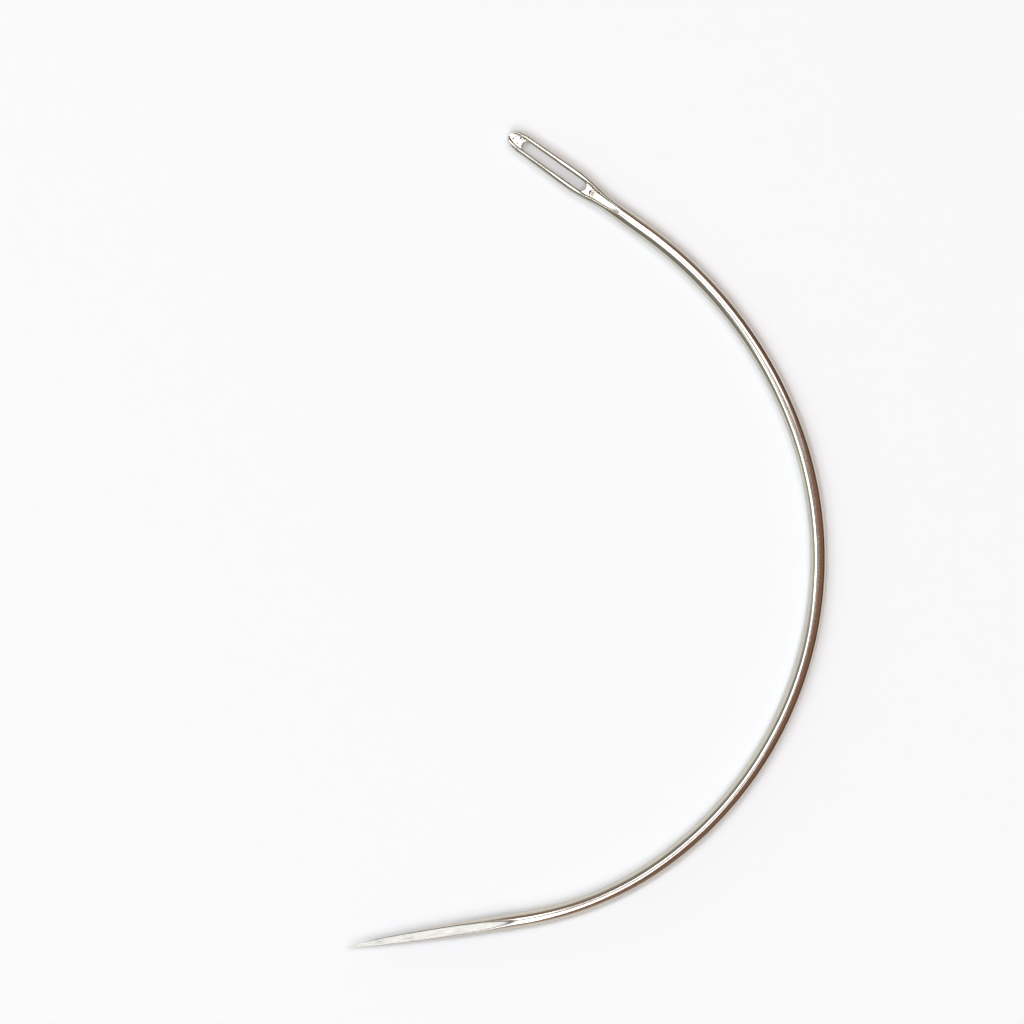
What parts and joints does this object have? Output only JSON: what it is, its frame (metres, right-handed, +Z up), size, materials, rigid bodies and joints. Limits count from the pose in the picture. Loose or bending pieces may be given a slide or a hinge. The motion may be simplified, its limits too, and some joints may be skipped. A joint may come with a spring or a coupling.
{
  "type": "curved weaving needle",
  "caption": "Curved steel weaving needle, one piece of round wire bent into an arc, with a long slotted and guttered eye at one end and a three-faced ground point at the other",
  "frame": {"origin": "Centre of the underside of the bounding box, on the surface that the needle lies on", "axes": "+Z up, across the plane of the curve; +Y along the straight line from the tip to the head end; +X from the open side of the curve to its bulge"},
  "size_m": [0.0244, 0.0502, 0.001],
  "materials": {
    "nickel_plate": "polished nickel plate over drawn steel wire, with fine lengthwise drawing lines"
  },
  "bodies": {
    "root": {"needle": "nickel_plate"}
  },
  "joints": []
}
